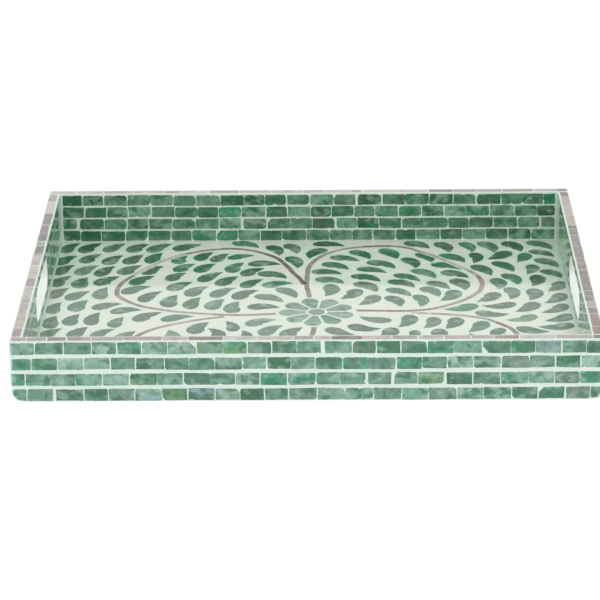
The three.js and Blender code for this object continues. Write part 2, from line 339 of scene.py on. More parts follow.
class Nodes:
    """A short way to write a material's node tree."""

    def __init__(self, name):
        self.material = bpy.data.materials.new(name)
        self.material.use_nodes = True
        self.tree = self.material.node_tree
        self.shader = self.tree.nodes["Principled BSDF"]

    def new(self, kind, **inputs):
        node = self.tree.nodes.new(kind)
        for label, value in inputs.items():
            self.put(node, label.replace("_", " "), value)
        return node

    def put(self, node, label, value):
        socket = node.inputs[int(label)] if label.isdigit() else node.inputs[label]
        if isinstance(value, bpy.types.NodeSocket):
            self.tree.links.new(value, socket)
        else:
            socket.default_value = value

    def shade(self, **inputs):
        for label, value in inputs.items():
            self.put(self.shader, label.replace("_", " "), value)

    def attribute(self, label):
        node = self.new("ShaderNodeAttribute")
        node.attribute_name = label
        return node

    def place(self, scale, offset=None):
        """Position on the object in millimetres, stretched by scale and moved by offset."""
        where = self.new("ShaderNodeTexCoord").outputs["Object"]
        if offset is not None:
            where = self.vector("ADD", self.vector("MULTIPLY", where, (1000, 1000, 1000)), offset)
            return self.vector("MULTIPLY", where, scale)
        return self.vector("MULTIPLY", where, tuple(1000 * s for s in scale))

    def combine(self, kind, operation, a, b):
        node = self.new(kind)
        node.operation = operation
        self.put(node, "0", a)
        self.put(node, "1", b)
        return node.outputs[0]

    def vector(self, operation, a, b):
        return self.combine("ShaderNodeVectorMath", operation, a, b)

    def maths(self, operation, a, b):
        return self.combine("ShaderNodeMath", operation, a, b)

    def noise(self, where, detail=3.0, roughness=0.55, distortion=0.0):
        node = self.new("ShaderNodeTexNoise", Vector=where, Scale=1.0, Detail=detail,
                        Roughness=roughness, Distortion=distortion)
        return node.outputs["Fac"]

    def ramp(self, factor, low, high, bottom=0.0, top=1.0):
        node = self.new("ShaderNodeMapRange", Value=factor)
        node.interpolation_type = "SMOOTHSTEP"
        for label, value in (("From Min", low), ("From Max", high),
                             ("To Min", bottom), ("To Max", top)):
            node.inputs[label].default_value = value
        return node.outputs["Result"]

    def mix(self, factor, a, b, blend="MIX"):
        node = self.new("ShaderNodeMix")
        node.data_type = "RGBA"
        node.blend_type = blend
        for index, value in ((0, factor), (6, a), (7, b)):
            self.put(node, str(index), value)
        return node.outputs[2]

    def grey(self, value):
        node = self.new("ShaderNodeCombineColor")
        for label in ("Red", "Green", "Blue"):
            self.put(node, label, value)
        return node.outputs["Color"]

    def bump(self, height, distance, strength=1.0):
        node = self.new("ShaderNodeBump", Height=height, Strength=strength, Distance=distance)
        return node.outputs["Normal"]


def shell_material(name, contrast, deep, pale):
    """Polished shell under clear lacquer: two tints in soft washes, growth lines and flecks.

    Dye has gathered in some places and missed others: deep and pale are (colour, strength).
    """
    n = Nodes(name)
    grain = n.attribute("grain").outputs["Vector"]
    first = n.attribute("first_tint").outputs["Color"]
    second = n.attribute("second_tint").outputs["Color"]
    washes = n.noise(n.place((0.08, 0.08, 0.11), grain), detail=2, distortion=0.3)
    colour = n.mix(n.ramp(washes, 0.38, 0.64), first, second)
    gathered = n.noise(n.place((0.09, 0.09, 0.12), grain), detail=2.5, distortion=0.25)
    colour = n.mix(n.ramp(gathered, 0.53, 0.64, 0.0, deep[1]), colour, deep[0])
    colour = n.mix(n.ramp(gathered, 0.46, 0.33, 0.0, pale[1]), colour, pale[0])
    pools = n.noise(n.place((0.22, 0.22, 0.22), grain), detail=4, distortion=0.5)
    lines = n.noise(n.place((0.12, 0.12, 0.8), grain), detail=3, distortion=0.4)
    flecks = n.noise(n.place((0.9, 0.9, 0.9), grain), detail=5, roughness=0.7)
    shade = n.maths("MULTIPLY", n.ramp(pools, 0.3, 0.7, 1 - 1.6 * contrast, 1 + 1.6 * contrast),
                    n.ramp(flecks, 0.3, 0.72, 1 - contrast, 1 + contrast))
    colour = n.mix(1.0, colour, n.grey(shade), "MULTIPLY")
    n.shade(Base_Color=colour, Roughness=n.ramp(flecks, 0.3, 0.7, 0.30, 0.46),
            Coat_Weight=1.0, Coat_Roughness=0.05, Coat_IOR=1.5,
            Normal=n.bump(lines, 0.00004, 0.35))
    return n.material


def resin_material(name, tint, pale_tint, patchy=False):
    """Pale mint resin, faintly cloudy, with pinholes, under the same lacquer.

    A patchy one goes over to cream where its mesh says so.
    """
    n = Nodes(name)
    clouds = n.noise(n.place((0.05, 0.05, 0.05)), detail=4)
    specks = n.noise(n.place((0.8, 0.8, 0.8)), detail=4, roughness=0.7)
    colour = n.mix(n.ramp(clouds, 0.35, 0.65), tint, pale_tint)
    if patchy:
        colour = n.mix(n.attribute("cream").outputs["Fac"], colour, CREAM)
    colour = n.mix(n.ramp(specks, 0.62, 0.74, 0.0, 0.3), colour, PINHOLE)
    n.shade(Base_Color=colour, Roughness=n.ramp(specks, 0.3, 0.7, 0.32, 0.5),
            Coat_Weight=1.0, Coat_Roughness=0.06, Coat_IOR=1.5,
            Normal=n.bump(specks, 0.00005, 0.3))
    return n.material


def board_material():
    """Fibreboard sealed with thin paint: fine fibres, slightly rough."""
    n = Nodes("sealed_board")
    fibres = n.noise(n.place((0.25, 2.2, 2.2)), detail=6, roughness=0.75, distortion=0.8)
    blotches = n.noise(n.place((0.03, 0.03, 0.03)), detail=3)
    colour = n.mix(n.ramp(fibres, 0.35, 0.7), srgb(196, 206, 190), srgb(178, 188, 170))
    colour = n.mix(n.ramp(blotches, 0.4, 0.7, 0.0, 0.3), colour, srgb(168, 176, 156))
    n.shade(Base_Color=colour, Roughness=n.ramp(fibres, 0.3, 0.7, 0.5, 0.68),
            Normal=n.bump(fibres, 0.00008, 0.5))
    return n.material


# --- Shells on the walls ---

JOINT = (0.25, 0.9)             # between two shells of a course
WIDE_JOINT = (1.5, 3.2)
WIDE_JOINT_CHANCE = 0.09
SHELL_SPREAD = (0.9, 1.08)      # length of a shell, as a share of the mean
CORNER_LEAN = 0.35              # how far a shell's corner is out along its course
CORNER_RISE = 0.3               # and across it
CORNER_ROUND = (0.3, 0.8)       # rounding of a corner that isn't chipped
WAVE_SCALE = 0.45               # of the wavering of a hand-nipped edge
BITE_REACH = (1.2, 2.4)
BITE_DEPTH = 0.55               # of a bite, as a share of its reach
WALL_NIPS = (0.35, 0.2)         # how deep an edge wavers and how often it has a bite out
OUTLINE_STEP = 1.7              # between two points of an outline
FINE_STEP = 1.0                 # the same where a shell follows a rounded corner
SHELL_TILT = 0.004              # how far out of true a wall shell lies
SLOT_MARGIN = LINING + 0.9      # kept free of shells round the handle slot
SLOT_NEAR = 25                  # shells further off than this are left as they are
CUT_STEP = 1.2                  # between two points of an outline that the slot cuts
SMALLEST_CUT = 12               # area under which a shell cut by the slot is left out
SMALLEST_SHARE = 0.22           # and the same as a share of the whole shell
COURSE_SWELL = 0.12             # shells stand this much taller than their course
COURSE_SWAY = 0.8               # how far a course wanders up and down along its wall

# Rings from a shell's foot to its face, as (inset, height), and more across a crowned face
EDGE_RINGS = ((0.0, -SHELL_DEPTH), (0.0, -0.04), (0.06, -0.012), (0.2, 0.0))
CROWN_SCALES = (0.85, 0.68, 0.5, 0.32, 0.14)

Style = namedtuple("Style", "end_gap mean chip_chance chip_size greens emerald_chance")
OUTER_STYLE = Style(0.5, 19.9, 0.15, (1.4, 3.4), OUTER_GREENS, 0.25)
INNER_STYLE = Style(2.0, 19.6, 0.34, (1.8, 4.0), INNER_GREENS, 0.22)
# Style of the short walls inside, whose paler greens are painted light
LIT_SIDE_STYLE = Style(2.0, 19.6, 0.34, (1.8, 4.0), LIT_SIDE_GREENS, 0.1)


def lay_course(start, end, mean):
    """Start and end of each shell along a course, with thin joints and now and then a wide one."""
    spans = []
    at = start
    width = mean * rng.uniform(0.35, 1.0)
    while at < end - 0.4 * mean:
        stop = min(at + width, end)
        if end - stop < 0.35 * mean:
            stop = end
        spans.append([at, stop])
        at = stop + rng.uniform(*(WIDE_JOINT if rng.random() < WIDE_JOINT_CHANCE else JOINT))
        width = mean * rng.uniform(*SHELL_SPREAD)
    return spans


def shell_outline(left, right, bottom, top, chip_chance, chip_size):
    """Outline of one shell: a slightly askew rectangle, some corners chipped round."""
    lean = [rng.uniform(-CORNER_LEAN, CORNER_LEAN) for _ in range(4)]
    rise = [rng.uniform(-CORNER_RISE, CORNER_RISE) for _ in range(4)]
    corners = [(left + lean[0], bottom + rise[0]), (right + lean[1], bottom + rise[1]),
               (right + lean[2], top + rise[2]), (left + lean[3], top + rise[3])]
    limit = 0.4 * min(right - left, top - bottom)
    outline = []
    for k in range(4):
        here = Vector(corners[k])
        before = (Vector(corners[k - 1]) - here).normalized()
        after = (Vector(corners[(k + 1) % 4]) - here).normalized()
        size = chip_size if rng.random() < chip_chance else CORNER_ROUND
        start = here + before * min(rng.uniform(*size), limit)
        stop = here + after * min(rng.uniform(*size), limit)
        for i in range(5):
            t = i / 4
            point = start * (1 - t) ** 2 + here * 2 * t * (1 - t) + stop * t * t
            outline.append((point.x, point.y))
    return outline


def roughen(outline, step, depth, bite_chance):
    """The outline as if nipped by hand: its edges waver, and some have a small bite out."""
    dense = resample(outline, step)
    middle = Vector(middle_of(dense))
    start = rng.uniform(0, 500)
    bite = Vector(rng.choice(dense)) if rng.random() < bite_chance else None
    reach = rng.uniform(*BITE_REACH)
    rough = []
    for u, v in dense:
        inward = (middle - Vector((u, v))).normalized()
        push = depth * noise.noise(Vector((u * WAVE_SCALE, v * WAVE_SCALE, start)))
        if bite is not None:
            push += BITE_DEPTH * max(0.0, reach - (Vector((u, v)) - bite).length)
        rough.append((u + inward.x * push, v + inward.y * push))
    return rough


def resample(outline, step):
    """The same outline with points no further apart than step."""
    dense = []
    for (x0, y0), (x1, y1) in zip(outline, outline[1:] + outline[:1]):
        parts = max(1, math.ceil(math.hypot(x1 - x0, y1 - y0) / step))
        dense.extend((x0 + (x1 - x0) * i / parts, y0 + (y1 - y0) * i / parts)
                     for i in range(parts))
    return dense


def middle_of(outline):
    return (sum(u for u, _ in outline) / len(outline), sum(v for _, v in outline) / len(outline))


def area(outline):
    turns = zip(outline, outline[1:] + outline[:1])
    return sum(x0 * y1 - x1 * y0 for (x0, y0), (x1, y1) in turns) / 2


def keep_off_slot(outline, slot_u):
    """The outline pushed out of the handle slot, or None if little of it is left."""
    reach = SLOT_RADIUS + SLOT_MARGIN
    centre_u, centre_v = middle_of(outline)
    if abs(centre_u - slot_u) > SLOT_STRAIGHT + reach + SLOT_NEAR:
        return outline
    pushed = []
    for u, v in resample(outline, CUT_STEP):
        spine = slot_u + min(max(u - slot_u, -SLOT_STRAIGHT), SLOT_STRAIGHT)
        away = Vector((u - spine, v - SLOT_Z))
        if away.length < reach:
            if away.length < 0.5 * reach:
                away = Vector((centre_u - spine, centre_v - SLOT_Z))
            away = away.normalized() * reach
            u, v = spine + away.x, SLOT_Z + away.y
        pushed.append((u, v))
    return pushed if area(pushed) > max(SMALLEST_SHARE * area(outline), SMALLEST_CUT) else None


def add_shell(shells, outline, place, first, second, tilt=0.0, crown=False):
    """One shell let into a surface; place turns (u, v, height) into a point.

    A crowned shell has more rings on top, so that it can follow a rounded surface.
    """
    us = [u for u, _ in outline]
    vs = [v for _, v in outline]
    centre = ((max(us) + min(us)) / 2, (max(vs) + min(vs)) / 2)
    half = ((max(us) - min(us)) / 2, (max(vs) - min(vs)) / 2)
    slope = (rng.uniform(-tilt, tilt), rng.uniform(-tilt, tilt))
    levels = [(1 - inset / half[0], 1 - inset / half[1], height) for inset, height in EDGE_RINGS]
    if crown:
        levels += [(scale, scale, 0.0) for scale in CROWN_SCALES]
    rings = []
    for scale_u, scale_v, height in levels:
        ring = []
        for u, v in outline:
            du = (u - centre[0]) * scale_u
            dv = (v - centre[1]) * scale_v
            lift = height + du * slope[0] + dv * slope[1]
            ring.append(place(centre[0] + du, centre[1] + dv, lift))
        rings.append(ring)
    shells.add(rings, first, second)


def two_tints(greens, emerald_chance):
    first = jitter(pick(greens), 0.14)
    if rng.random() < emerald_chance:
        return first, jitter(pick(EMERALDS), 0.2)
    return first, jitter(pick(greens), 0.16)


def wall_face(side, outer):
    """Half the run of a wall's face, the slot's place along it, and how to place shells there.

    The place turns (run, height, lift) into a point, the run going to the right as one looks
    at the face.
    """
    x, y = SIDES[side]
    facing = 1 if outer else -1
    size = (HALF_LENGTH, HALF_DEPTH) if outer else (WELL_HALF_LENGTH, WELL_HALF_DEPTH)
    half_run, reach = size if y else size[::-1]
    slot_u = None if y else x * facing * SLOT_Y

    def place(u, v, h):
        out = reach + facing * h
        return (x * out - y * facing * u, y * out + x * facing * u, v)

    return half_run, slot_u, place


def wall_shells(side, where, style, material):
    """All the shells of one wall face as one piece, in place of its CAD courses."""
    outer = where == "outer"
    half_run, slot_u, place = wall_face(side, outer)

    def put(u, v, h):
        return soften(place(u, v, h)) if outer else place(u, v, h)

    shells = Shells()
    for low, high in COURSES[where]:
        bottom, top = low[2] - COURSE_SWELL, high[2] + COURSE_SWELL
        for start, end in course_runs(half_run - style.end_gap, slot_u, (bottom + top) / 2):
            for left, right in lay_course(start, end, style.mean):
                sway = COURSE_SWAY * noise.noise(Vector(((left + right) * 0.008, low[2], half_run)))
                outline = shell_outline(left, right, bottom + sway, top + sway,
                                        style.chip_chance, style.chip_size)
                near_end = outer and max(abs(left), abs(right)) > half_run - CORNER_REACH
                outline = roughen(outline, FINE_STEP if near_end else OUTLINE_STEP, *WALL_NIPS)
                if slot_u is not None:
                    outline = keep_off_slot(outline, slot_u)
                if outline is not None:
                    tints = two_tints(style.greens, style.emerald_chance)
                    add_shell(shells, outline, put, *tints, tilt=SHELL_TILT, crown=near_end)
    piece = shells.build(f"{side}_{where}_shells")
    prefix = f"{side}_{where}_course_"
    dress(piece, material, "green_shell", *[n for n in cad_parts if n.startswith(prefix)])


def course_runs(run, slot_u, height):
    """The stretches that a course covers: one, or two beside the handle slot."""
    if slot_u is None or abs(height - SLOT_Z) >= SLOT_RADIUS:
        return [(-run, run)]
    reach = SLOT_STRAIGHT + math.sqrt(SLOT_RADIUS ** 2 - (height - SLOT_Z) ** 2) - 3
    return [(-run, slot_u - reach), (slot_u + reach, run)]


# --- Rim shells ---

# Tones along each rim and the length of each shell: from the left on the long rims, from the
# back on the short ones.
FRONT_RIM = [
    ("pink", 12), ("olive", 16), ("taupe", 15), ("rust", 19), ("grey", 25), ("pink", 30),
    ("blush", 20), ("mauve", 27), ("pale", 26), ("cream", 28), ("taupe", 16), ("cream", 13),
    ("dusk", 24), ("blush", 23), ("grey", 20), ("pale", 20), ("blush", 21), ("beige", 18),
    ("rust", 19), ("pale", 28), ("grey", 29), ("dusk", 8),
]
BACK_RIM = [
    ("pale", 23), ("blush", 24), ("grey", 26), ("cream", 27), ("olive", 14), ("pale", 26),
    ("olive", 26), ("blush", 28), ("cream", 28), ("grey", 19), ("blush", 23), ("olive", 10),
    ("cream", 32), ("blush", 26), ("dusk", 22), ("taupe", 20), ("grey", 23), ("olive", 27),
    ("blush", 21), ("mauve", 9),
]
LEFT_RIM = [
    ("blush", 20), ("pale", 30), ("taupe", 29), ("mauve", 20), ("dusk", 20), ("grey", 12),
    ("dusk", 18), ("blush", 29), ("cream", 28), ("pink", 18), ("pale", 20), ("blush", 18),
    ("cream", 27), ("cream", 26), ("pink", 18),
]
RIGHT_RIM = [
    ("mauve", 12), ("beige", 26), ("cream", 26), ("beige", 25), ("dusk", 24), ("taupe", 27),
    ("taupe", 31), ("mauve", 27), ("dusk", 24), ("taupe", 24), ("dusk", 24), ("pink", 14),
    ("mauve", 13), ("rust", 28), ("rust", 16),
]
RIM_OUTER_MARGIN = 0.9
RIM_INNER_MARGIN = 1.6
RIM_RUN_X = HALF_LENGTH - RIM_OUTER_MARGIN
RIM_RUN_Y = HALF_DEPTH - WALL + 0.3
RIM_NIPS = (0.25, 0.1)
RIM_CHIP_CHANCE = 0.10
RIM_CHIP_SIZE = (0.8, 2.0)
RIM_BLEND = 0.35        # share of a second tone in a rim shell

RIMS = {"front": FRONT_RIM, "back": BACK_RIM, "left": LEFT_RIM, "right": RIGHT_RIM}


def rim_shells(side, tones, material):
    """One rim's shells, from left to right or from back to front."""
    x, y = SIDES[side]
    run = RIM_RUN_X if y else RIM_RUN_Y

    def place(u, v, h):
        return (x * (HALF_LENGTH - v) + abs(y) * u, y * (HALF_DEPTH - v) - abs(x) * u, RIM_Z + h)

    shells = Shells()
    fit = 2 * run / sum(length for _, length in tones)
    at = -run
    for tone, length in tones:
        stop = at + length * fit
        joint = rng.uniform(0.2, 0.5)
        outline = shell_outline(at + joint, stop - joint, RIM_OUTER_MARGIN,
                                WALL - RIM_INNER_MARGIN, RIM_CHIP_CHANCE, RIM_CHIP_SIZE)
        outline = roughen(outline, OUTLINE_STEP, *RIM_NIPS)
        colour = jitter(RIM_TONES[tone], 0.08)
        other = jitter(RIM_TONES[rng.choice(["pink", "cream", "taupe", "blush", tone])], 0.1)
        add_shell(shells, outline, place, colour, blend_colours(colour, other, RIM_BLEND))
        at = stop
    piece = shells.build(f"{side}_rim_shells")
    dress(piece, material, "rim_shell", f"{side}_rim_strip")


def blend_colours(a, b, t):
    return tuple(p * (1 - t) + q * t for p, q in zip(a, b))


# --- Floor pattern ---

# Petals of the floor: x and y of the middle, in millimetres from the rosette's centre, and the
# heading of the tip in degrees from +X. A petal bulges to the left of its heading in the first
# list and to the right in the second. One drift of petals to a line or two.
PETALS = [
    (-217, 158, 62), (-199, 158, 62), (-178, 158, 56), (-157, 157, 56), (-138, 157, 52), (-114, 158, 36),
    (-218, 127, 57), (-197, 131, 62), (-177, 127, 65), (-159, 128, 62), (-141, 131, 73), (-118, 128, 72),
    (-218, 103, 60), (-198, 102, 60), (-182, 99, 65), (-161, 102, 60), (-141, 101, 60),
    (-218, 75, 66), (-200, 71, 80), (-179, 76, 50), (-218, 47, 60), (-201, 41, 55), (-181, 46, 84),
    (-218, 12, 82), (-198, 17, 68), (-175, 16, 32), (-158, 5, 18),
    (-218, -20, 84), (-201, -15, 80), (-184, -13, 80), (-164, -21, 74), (-140, -8, 46), (-115, -12, 24),
    (-217, -45, 60), (-194, -43, 66), (-174, -45, 48), (-155, -52, 60),
    (-149, 77, 52), (-120, 85, 58), (-114, 107, 54), (-98, 135, 60), (-96, 106, 56), (-84, 131, 60),
    (-153, 54, 40), (-140, 38, 58), (-116, 62, 50), (-91, 84, 52), (-76, 74, 56), (-70, 107, 68),
    (-66, 133, 22), (-122, 27, 76), (-101, 50, 57), (-103, 22, 74), (-79, 47, 53), (-55, 96, 50),
    (-45, 115, 0), (-84, 19, 70), (-60, 42, 52), (-55, 68, 52), (-37, 87, -25), (-33, 65, 18),
    (-69, 12, 82), (-39, 32, -32), (-24, 45, -55), (-44, 12, -4), (-62, 164, -25), (-36, 149, -66),
    (-21, 153, -70), (-19, 119, -74), (11, 163, -6),
    (-96, -34, 62), (-46, -22, 32), (-37, -40, 58), (-20, -45, 62),
    (39, 137, -48), (64, 139, -62), (89, 161, -35), (112, 155, -66), (133, 155, -72), (151, 155, -66),
    (173, 156, -60), (197, 159, -40), (25, 127, -22), (17, 109, -28), (9, 93, -14), (12, 73, -20),
    (57, 112, -30), (48, 98, -26), (43, 79, -32), (43, 58, -46), (82, 116, -70), (95, 129, -65),
    (119, 127, -45), (113, 107, -26), (93, 89, -45), (78, 80, -40), (119, 87, -32), (73, 65, -36),
    (104, 61, -44), (122, 63, -68), (70, 45, -42), (97, 46, -56), (112, 36, -120), (11, 50, -96),
    (29, 40, -120), (44, 26, -122), (66, 24, -64), (87, 25, -86), (138, 127, -88), (159, 133, -128),
    (179, 127, -108), (197, 138, -32), (200, 114, -46), (162, 106, -54), (184, 98, -100),
    (143, 97, -62), (202, 87, -50), (167, 75, -66), (187, 71, -96), (154, 64, -86), (203, 56, -116),
    (164, 41, -86), (182, 38, -100), (144, 31, -126), (200, 28, -126), (120, 8, -156), (152, 13, -166),
    (175, 8, -130), (198, 4, -140), (169, -17, -158), (200, -17, -150), (196, -35, -170),
    (48, -17, 164), (74, -22, -110), (94, -26, -106), (112, -27, -110), (132, -35, -116),
    (58, -49, -112), (78, -51, -108), (98, -52, -104),
]
RIGHT_BENT_PETALS = [
    (-1, 141, -118), (145, -6, -10), (176, -43, -20), (39, -36, -18), (19, -45, -40),
    (-82, -46, 112), (-70, -31, 104), (-118, -52, 98), (-58, -50, 100), (147, -50, -110),
]

# Length of a petal along its bent spine, its greatest width, and how far the spine turns.
PETAL_LENGTH = 30.0
PETAL_WIDTH = 14.5
PETAL_BEND = 66.0

# The scroll's four lobes: (x, y, tone), in millimetres from the rosette's centre.
SCROLL = {
    "back_left_scroll": [
        (-10.5, 64, "dark"), (-15, 80, "dark"), (-20, 92, "dark"), (-26, 110, "dark"),
        (-34, 128, "dark"), (-44, 139, "dark"), (-54, 147, "umber"), (-66, 152, "umber"),
        (-78, 153.5, "umber"), (-98, 149, "taupe"), (-114, 141, "mist"), (-129, 129, "cream"),
        (-141, 114, "cream"), (-151, 99, "cream"), (-158, 86, "ash"), (-165, 72, "ash"),
        (-168.5, 56, "taupe"), (-168, 42, "umber"), (-164, 34, "taupe"), (-156, 24, "taupe"),
        (-146, 15, "taupe"), (-134, 9, "mist"), (-122, 4, "mist"), (-108, 0, "blush"),
        (-90, -3.5, "mist"), (-72, -6, "taupe"), (-54, -6, "taupe"), (-33, -3.6, "taupe"),
    ],
    "back_right_scroll": [
        (-6, 33, "taupe"), (-7, 46, "umber"), (-8.4, 60, "ash"), (-8, 84, "ash"),
        (-7, 104, "ash"), (-2, 122, "ash"), (10, 141, "mist"), (26, 152, "mist"),
        (44, 157.4, "umber"), (66, 158, "taupe"), (80, 153, "ash"), (89, 145, "ash"),
        (100, 135, "cream"), (111, 122, "cream"), (121, 109, "cream"), (130, 97, "mist"),
        (137, 84, "blush"), (140.5, 68, "blush"), (139, 53, "blush"), (135, 42, "mist"),
        (126, 29, "ash"), (118, 21, "ash"), (108, 13, "taupe"), (98, 6.8, "taupe"),
        (88, 3.4, "umber"), (76, 1.6, "umber"), (64, 1.4, "umber"), (32, 3, "umber"),
    ],
    "front_left_scroll": [
        (-2, -34, "umber"), (-3, -48, "umber"), (-6, -60, "taupe"), (-14, -78, "umber"),
        (-22, -98, "dark"), (-34, -119, "dark"), (-54, -135, "umber"), (-78, -141, "umber"),
        (-100, -136, "taupe"), (-120, -126, "mist"), (-138, -110, "ash"), (-152, -92, "ash"),
        (-156, -76, "taupe"), (-150, -59, "taupe"), (-140, -44, "taupe"), (-132, -36, "ash"),
        (-122, -29, "mist"), (-110, -22.5, "mist"), (-98, -17, "mist"), (-86, -12.5, "ash"),
        (-76, -9.6, "ash"),
    ],
    "front_right_scroll": [
        (-3, -66, "taupe"), (-2, -84, "ash"), (-2, -104, "ash"), (3, -120, "ash"),
        (14, -132, "mist"), (30, -140, "mist"), (46, -143.5, "umber"), (80, -141, "taupe"),
        (102, -133, "ash"), (122, -120, "mist"), (140, -104, "mist"), (154, -86, "blush"),
        (162, -68, "blush"), (163, -54, "ash"), (159, -40, "umber"), (154, -33, "dark"),
        (148, -26, "umber"), (140, -18, "ash"), (130, -13, "ash"), (118, -9, "mist"),
        (104, -6.2, "mist"), (90, -4.2, "cream"), (78, -2.8, "cream"),
    ],
}
SCROLL_WIDTH = 4.3
SCROLL_JOINT = 0.24     # between two of the scroll's shells
CURVE_STEPS = 20        # of the curve between two of the scroll's points
ROSETTE_HEADINGS = [103 - 40 * k for k in range(9)]
EMERALD_HEADINGS = (103, -57)
DISC_RADIUS = 7.0
DISC_POINTS = 24

FLOOR_STEP = 1.5        # between two points of a petal's outline
PETAL_NIPS = (0.5, 0.25)
ROSETTE_NIPS = (0.4, 0.0)
NOTCH_CHANCE = 0.55
NOTCH_DEPTH = (0.05, 0.32)
PETAL_GAP = 1.0         # resin left between petals, and between a petal and the scroll
WALL_GAP = 1.2          # and between a petal and the walls
PETAL_ROOM = 7.5        # from the scroll to a petal's middle, at least
SPOKE_STEP = 0.4        # how finely the way out to a petal's edge is searched for the scroll

# The strip of floor along the front wall repeats the one along the back wall, squeezed.
MIRROR_FROM = 59.0
MIRROR_SQUEEZE = 0.88
MIRROR_SHIFT = -6.0
MIRROR_SIZE = 0.9       # of a mirrored petal, as a share of a listed one
MIRROR_ROOM = 9.5       # from the scroll to its middle
MIRROR_SPACING = 13.0   # and to the nearest other petal's middle


def tree_of(points):
    points = list(points)
    tree = KDTree(len(points))
    for index, point in enumerate(points):
        tree.insert((point[0], point[1], 0), index)
    tree.balance()
    return tree


def smooth_path(points, step):
    """Evenly spaced points along a Catmull-Rom curve through the given points."""
    dense = []
    last = len(points) - 1
    for k in range(last):
        p0, p1 = Vector(points[max(k - 1, 0)][:2]), Vector(points[k][:2])
        p2, p3 = Vector(points[k + 1][:2]), Vector(points[min(k + 2, last)][:2])
        for i in range(CURVE_STEPS):
            t = i / CURVE_STEPS
            dense.append(0.5 * (2 * p1 + (p2 - p0) * t + (2 * p0 - 5 * p1 + 4 * p2 - p3) * t * t
                                + (3 * p1 - p0 - 3 * p2 + p3) * t ** 3))
    dense.append(Vector(points[last][:2]))
    even = [dense[0]]
    for point in dense:
        if (point - even[-1]).length >= step:
            even.append(point)
    return even


SCROLL_TREE = tree_of(p for points in SCROLL.values() for p in smooth_path(points, 1.0))


def on_floor(u, v, h):
    return (ROSETTE_X + u, ROSETTE_Y + v, FLOOR_Z + h)


def petal_outline(x, y, heading, bend, size):
    """A comma-shaped petal: a blunt round end, a spine that turns, and a pointed tip."""
    length = PETAL_LENGTH * size * rng.uniform(0.93, 1.05)
    width = PETAL_WIDTH * size * rng.uniform(0.92, 1.07)
    turn = math.radians(PETAL_BEND * rng.uniform(0.75, 1.25))
    notch = rng.uniform(*NOTCH_DEPTH) if rng.random() < NOTCH_CHANCE else 0.0
    steps = 18
    spine = Vector((0, 0))
    bulge, hollow = [], []
    for i in range(steps + 1):
        t = i / steps
        direction = turn * (0.5 - t)
        ahead = Vector((math.cos(direction), math.sin(direction)))
        aside = Vector((-ahead.y, ahead.x))
        swell = width / 2 * petal_swell(t)
        dent = 1 - notch * math.exp(-((t - 0.55) / 0.08) ** 2)
        bulge.append(spine + aside * swell * 1.05)
        hollow.append(spine - aside * swell * 0.95 * dent)
        spine = spine + ahead * length / steps
    loop = hollow + bulge[-2:0:-1]
    middle = sum(loop, Vector((0, 0))) / len(loop)
    angle = math.radians(heading + rng.uniform(-4, 4))
    outline = []
    for point in loop:
        a, b = point.x - middle.x, (point.y - middle.y) * bend
        outline.append((x + a * math.cos(angle) - b * math.sin(angle),
                        y + a * math.sin(angle) + b * math.cos(angle)))
    return outline if bend > 0 else outline[::-1]


def petal_swell(t):
    """Half-width along a petal, from 0 at the blunt end to 1 and back to 0 at the tip."""
    head = math.sqrt(max(0.0, 1 - ((0.36 - t) / 0.36) ** 2)) if t < 0.36 else 1.0
    tail = 1 - max(0.0, (t - 0.36) / 0.64) ** 1.7
    return head * tail


def tear_outline(heading):
    """A rosette petal: a wedge widening from the middle, with a round outer end."""
    turn = math.radians(heading)
    gap = 0.85
    start, end = 9.0, 24.0
    spread = math.radians(20)
    foot = start * math.tan(spread) - gap
    radius = end * math.sin(spread) - gap
    loop = [(start, -foot), (end, -radius)]
    loop += [(end + radius * math.sin(math.radians(a)), -radius * math.cos(math.radians(a)))
             for a in range(15, 180, 15)]
    loop += [(end, radius), (start, foot)]
    return [(a * math.cos(turn) - b * math.sin(turn), a * math.sin(turn) + b * math.cos(turn))
            for a, b in loop]


def petal_places():
    """Every petal as (x, y, heading, bend, size), with the front strip mirrored from the back."""
    listed = [(x, y, heading, 1) for x, y, heading in PETALS]
    listed += [(x, y, heading, -1) for x, y, heading in RIGHT_BENT_PETALS]
    places = []
    for x, y, heading, bend in listed:
        spot = off_scroll(Vector((x, y)), PETAL_ROOM)
        places.append((spot.x, spot.y, heading, bend, 1.0))
    for x, y, heading, bend, _ in list(places):
        if y < MIRROR_FROM:
            continue
        spot = off_scroll(Vector((x, MIRROR_SHIFT - MIRROR_SQUEEZE * y)), MIRROR_ROOM)
        nearest = min((Vector(other[:2]) - spot).length for other in places)
        if nearest > MIRROR_SPACING:
            places.append((spot.x, spot.y, -heading, -bend, MIRROR_SIZE))
    return places


def off_scroll(spot, room):
    """The place of a petal's middle, moved straight away from the scroll if it is too near."""
    nearest, _, gap = SCROLL_TREE.find((spot.x, spot.y, 0))
    if gap >= room:
        return spot
    return nearest.xy + (spot - nearest.xy) * room / gap


def floor_petals(material):
    """All the petals in one piece; returns their outlines."""
    outlines = [roughen(petal_outline(*place), FLOOR_STEP, *PETAL_NIPS) for place in petal_places()]
    outlines = [clear_of_edges(clear_of_scroll(outline)) for outline in ease_apart(outlines)]
    shells = Shells()
    for outline in outlines:
        add_floor_shell(shells, outline, *two_tints(FLOOR_GREENS, 0.2))
    dress(shells.build("floor_petals"), material, "green_shell")
    return outlines


def ease_apart(outlines):
    """Shrinks petals a little at a time until no two of them touch."""
    for _ in range(8):
        tree = tree_of(point for outline in outlines for point in outline)
        owners = [k for k, outline in enumerate(outlines) for _ in outline]
        crowded = [k for k, outline in enumerate(outlines)
                   if any(owners[index] != k for u, v in outline
                          for _, index, _ in tree.find_range((u, v, 0), PETAL_GAP))]
        for k in crowded:
            outlines[k] = scaled(outlines[k], 0.95)
    return outlines


